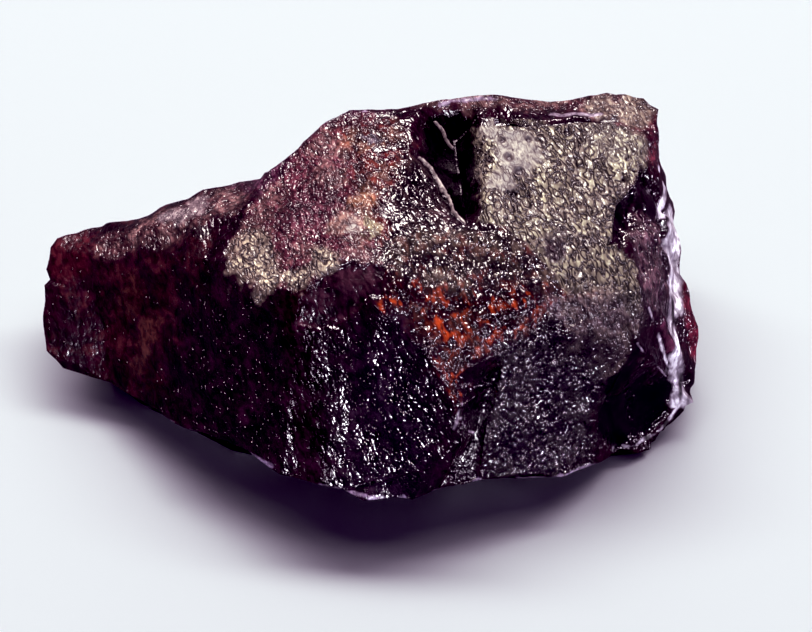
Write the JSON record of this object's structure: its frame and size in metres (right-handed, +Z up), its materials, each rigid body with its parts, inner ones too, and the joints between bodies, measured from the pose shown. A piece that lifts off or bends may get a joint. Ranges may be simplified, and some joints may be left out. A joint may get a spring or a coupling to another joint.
{
  "type": "rough painite crystal",
  "caption": "Rough dark red-brown painite crystal, a chunky faceted natural crystal with an etched top, lying on its one flat face.",
  "frame": {"origin": "middle of the bounding box in plan, on the flat face that the crystal rests on", "axes": "+X along the crystal to its blunt end, +Y to the back, +Z up from the rest face"},
  "size_m": [0.02, 0.0126, 0.0073],
  "materials": {
    "painite": "glassy, etched on the upper faces"
  },
  "bodies": {
    "root": {"painite_crystal": "painite"}
  },
  "joints": []
}
